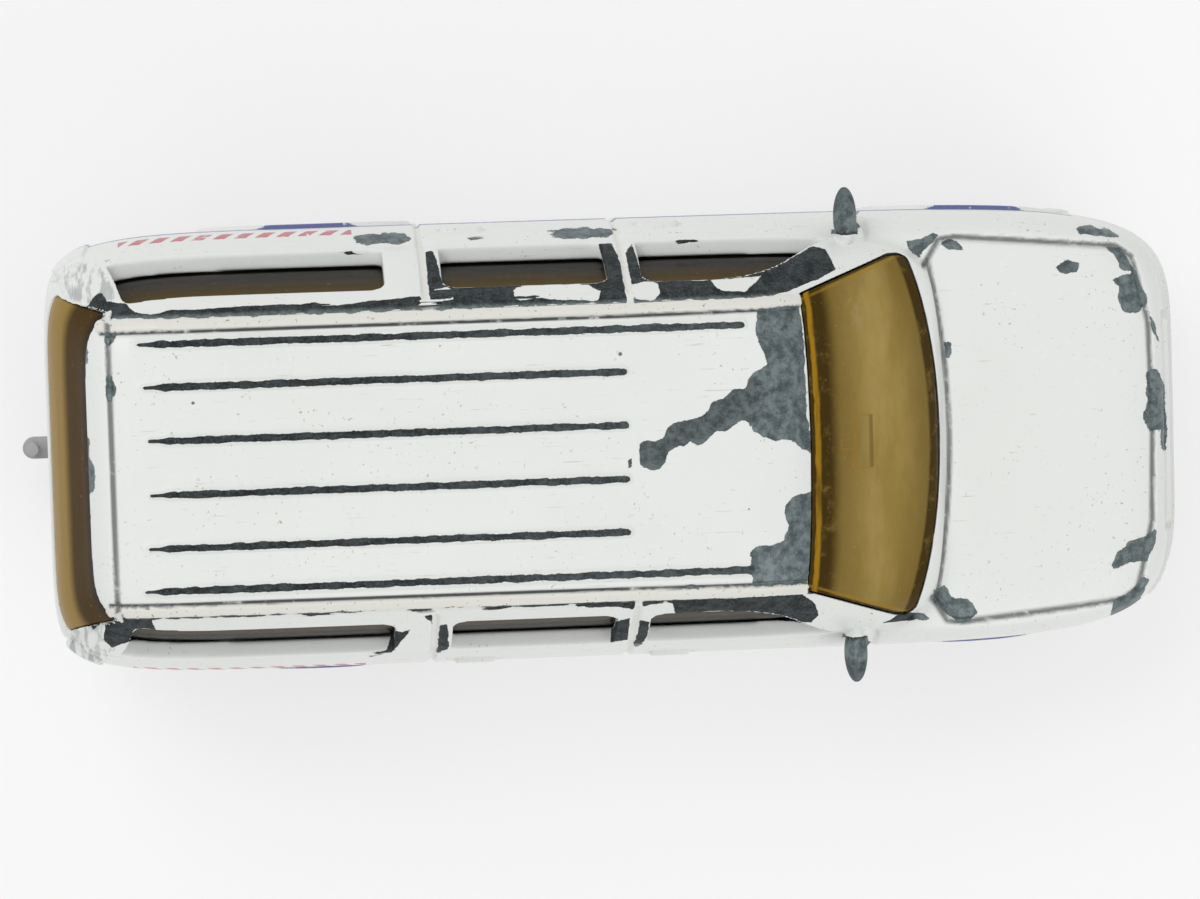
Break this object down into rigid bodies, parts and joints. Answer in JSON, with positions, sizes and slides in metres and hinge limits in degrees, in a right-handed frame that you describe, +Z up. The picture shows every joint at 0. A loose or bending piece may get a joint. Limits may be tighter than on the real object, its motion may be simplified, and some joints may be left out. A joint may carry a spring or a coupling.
{
  "type": "toy ambulance",
  "caption": "Small die-cast toy ambulance with a white ribbed-roof shell, amber windows, a moulded base with a tow hook, and wheels that turn freely on wire axles.",
  "frame": {"origin": "on the ground under the middle of the whole length, between the wheels", "axes": "+X to the front of the car, +Y to its left side, +Z up"},
  "size_m": [0.0764, 0.032, 0.0277],
  "materials": {
    "paint": "gloss white, chipped to bare grey zinc",
    "amber": "clear amber plastic",
    "seats": "moulded pale grey",
    "base": "moulded grey",
    "rivet": "bare",
    "wire": "plated wire",
    "tyre": "black",
    "hub": "silver painted"
  },
  "bodies": {
    "car": {"body_casting": "paint", "window_moulding": "amber", "seat_moulding": "seats", "base_plate": "base", "base_rivets": "rivet", "front_axle": "wire", "rear_axle": "wire"},
    "wheel_front_left": {"tyre_front_left": "tyre", "hub_front_left": "hub"},
    "wheel_front_right": {"tyre_front_right": "tyre", "hub_front_right": "hub"},
    "wheel_rear_left": {"tyre_rear_left": "tyre", "hub_rear_left": "hub"},
    "wheel_rear_right": {"tyre_rear_right": "tyre", "hub_rear_right": "hub"}
  },
  "joints": [
    {"name": "wheel_front_left_spin", "type": "hinge", "parent": "car", "child": "wheel_front_left", "pos_m": [0.02457, 0.0112, 0.0058], "axis": [0, 1, 0], "continuous": true},
    {"name": "wheel_front_right_spin", "type": "hinge", "parent": "car", "child": "wheel_front_right", "pos_m": [0.02457, -0.0112, 0.0058], "axis": [0, 1, 0], "continuous": true},
    {"name": "wheel_rear_left_spin", "type": "hinge", "parent": "car", "child": "wheel_rear_left", "pos_m": [-0.01902, 0.0112, 0.0058], "axis": [0, 1, 0], "continuous": true},
    {"name": "wheel_rear_right_spin", "type": "hinge", "parent": "car", "child": "wheel_rear_right", "pos_m": [-0.01902, -0.0112, 0.0058], "axis": [0, 1, 0], "continuous": true}
  ]
}
